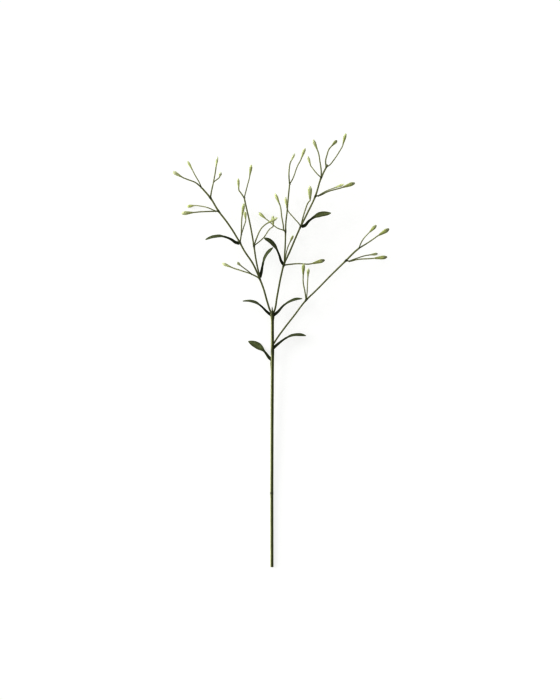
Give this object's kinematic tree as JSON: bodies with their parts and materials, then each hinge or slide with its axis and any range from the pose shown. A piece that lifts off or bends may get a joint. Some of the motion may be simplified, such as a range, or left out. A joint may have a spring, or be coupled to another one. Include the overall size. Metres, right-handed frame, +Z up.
{
  "type": "gypsophila stem",
  "caption": "Cut flowering stem lying on a surface: a straight green stalk with slender forked branches, closed lime buds on fine stalks and narrow pointed leaves.",
  "frame": {"origin": "middle of the whole stem's box, on the surface that it lies on", "axes": "+Y along the stem from its cut end to its head, +Z up from the surface, +X to the right seen from above with the head away from the viewer"},
  "size_m": [0.3502, 0.7002, 0.0782],
  "materials": {
    "stem_green": "smooth waxy green stem, paler along one side",
    "branch_green": "fine smooth green stalks, darker at the knots",
    "leaf_green": "matt dark green leaf with a paler midrib",
    "bud_lime": "satin lime-green closed bud, shaded to olive"
  },
  "bodies": {
    "root": {"branch_left": "branch_green", "branch_left_inner": "branch_green", "branch_low_right": "branch_green", "branch_right": "branch_green", "branch_right_inner": "branch_green", "bud_left_1a": "bud_lime", "bud_left_1b": "bud_lime", "bud_left_2a": "bud_lime", "bud_left_2b": "bud_lime", "bud_left_3a": "bud_lime", "bud_left_3b": "bud_lime", "bud_left_4a": "bud_lime", "bud_left_4b": "bud_lime", "bud_left_5a": "bud_lime", "bud_left_5b": "bud_lime", "bud_left_inner_1a": "bud_lime", "bud_left_inner_1b": "bud_lime", "bud_left_inner_2a": "bud_lime", "bud_left_inner_2b": "bud_lime", "bud_low_right_1a": "bud_lime", "bud_low_right_1b": "bud_lime", "bud_low_right_2a": "bud_lime", "bud_low_right_2b": "bud_lime", "bud_low_right_3a": "bud_lime", "bud_low_right_3b": "bud_lime", "bud_right_1a": "bud_lime", "bud_right_1b": "bud_lime", "bud_right_2a": "bud_lime", "bud_right_2b": "bud_lime", "bud_right_3a": "bud_lime", "bud_right_3b": "bud_lime", "bud_right_4a": "bud_lime", "bud_right_4b": "bud_lime", "bud_right_5a": "bud_lime", "bud_right_5b": "bud_lime", "bud_right_inner_1a": "bud_lime", "bud_right_inner_1b": "bud_lime", "bud_right_inner_2a": "bud_lime", "bud_right_inner_2b": "bud_lime", "leaf_fork_left": "leaf_green", "leaf_fork_right": "leaf_green", "leaf_left_branch": "leaf_green", "leaf_left_knot": "leaf_green", "leaf_low_left": "leaf_green", "leaf_low_right": "leaf_green", "leaf_right_branch": "leaf_green", "leaf_right_knot": "leaf_green", "main_stem": "stem_green"}
  },
  "joints": []
}
